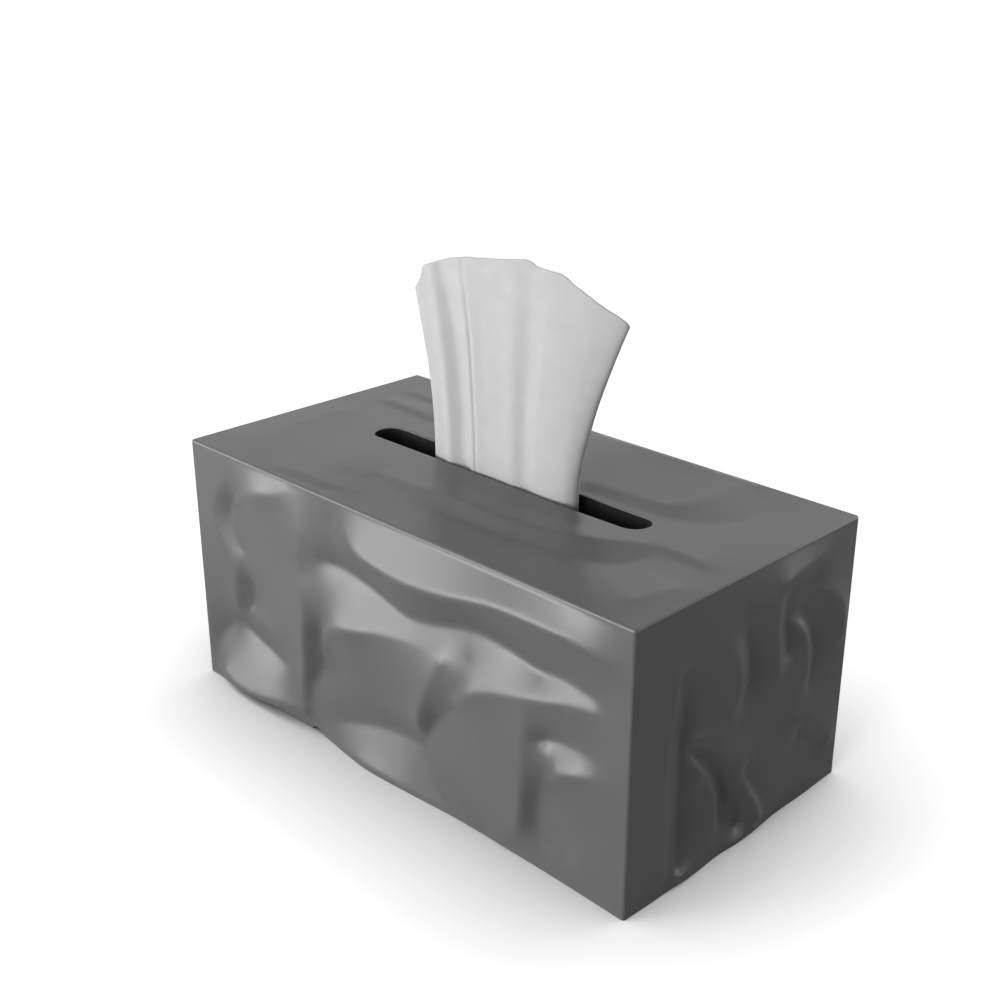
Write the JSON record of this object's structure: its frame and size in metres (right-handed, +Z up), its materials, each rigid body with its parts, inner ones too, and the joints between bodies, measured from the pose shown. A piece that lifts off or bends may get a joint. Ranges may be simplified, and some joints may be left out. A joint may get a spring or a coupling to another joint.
{
  "type": "tissue box",
  "caption": "Rectangular tissue box cover with softly crumpled walls, over a carton of folded tissues, with a tissue drawn up through the slot.",
  "frame": {"origin": "middle of the box's footprint, on the surface that the cover's rim and the carton stand on", "axes": "+Z up, +X along the box's length, +Y from the front wall towards the back wall"},
  "size_m": [0.2616, 0.1465, 0.2086],
  "materials": {
    "cover": "satin",
    "carton": "matt",
    "tissue": "soft"
  },
  "bodies": {
    "root": {"cover": "cover", "carton": "carton", "tissue_stack": "tissue", "pulled_tissue": "tissue"}
  },
  "joints": []
}
